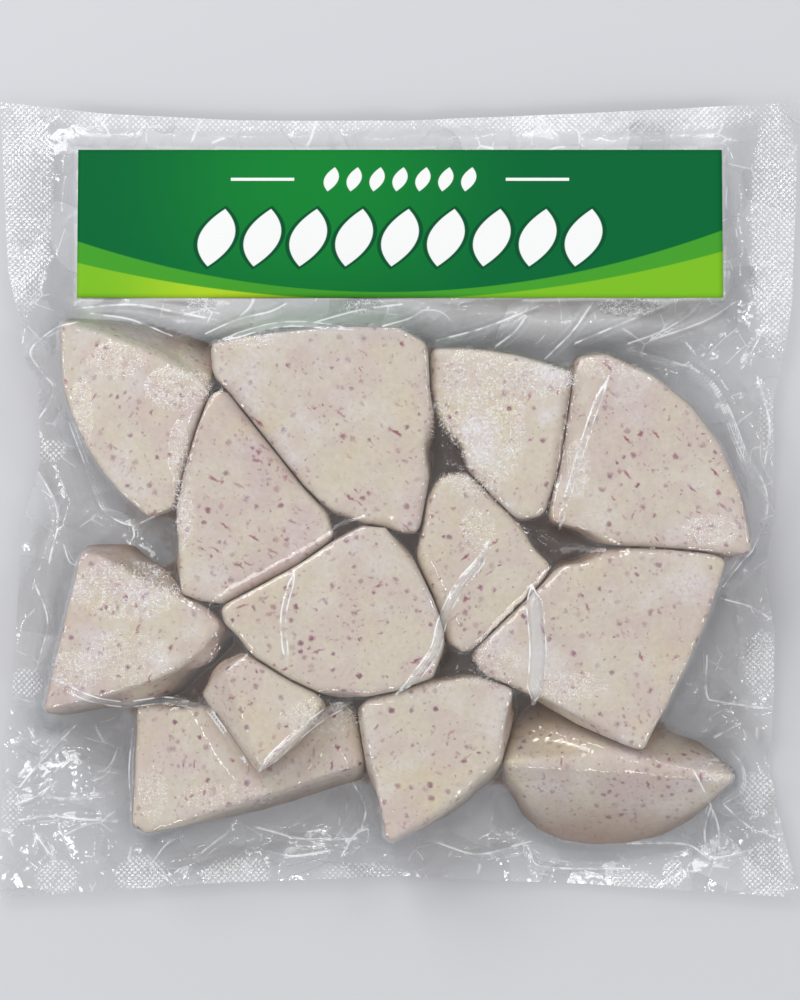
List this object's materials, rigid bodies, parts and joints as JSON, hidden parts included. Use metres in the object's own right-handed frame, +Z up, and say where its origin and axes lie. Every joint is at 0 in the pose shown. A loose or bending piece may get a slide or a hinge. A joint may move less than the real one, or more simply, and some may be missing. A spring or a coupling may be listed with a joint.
{
  "type": "vacuum pack of frozen taro",
  "caption": "Flat square vacuum pouch of clear crumpled film, sealed around peeled frozen taro chunks flecked with purple, with a plain green printed label across its top.",
  "frame": {"origin": "on the surface the pack lies on, under the middle of the pouch", "axes": "+Z up out of the label side, +Y towards the label's end of the pack, +X to the right as the label is seen"},
  "size_m": [0.2107, 0.2085, 0.0362],
  "materials": {
    "taro": "frozen cut flesh, waxy and slightly translucent, cream with purple flecks and short fibres, frosted in patches",
    "film": "clear glossy vacuum film, crumpled, with a fine diamond emboss on the seals",
    "label": "satin printed film label, dark green with lighter green curved bands"
  },
  "bodies": {
    "root": {"chunk_01": "taro", "chunk_02": "taro", "chunk_03": "taro", "chunk_04": "taro", "chunk_05": "taro", "chunk_06": "taro", "chunk_07": "taro", "chunk_08": "taro", "chunk_09": "taro", "chunk_10": "taro", "chunk_11": "taro", "chunk_12": "taro", "chunk_13": "taro", "back_film": "film", "front_film": "film", "label": "label"}
  },
  "joints": []
}
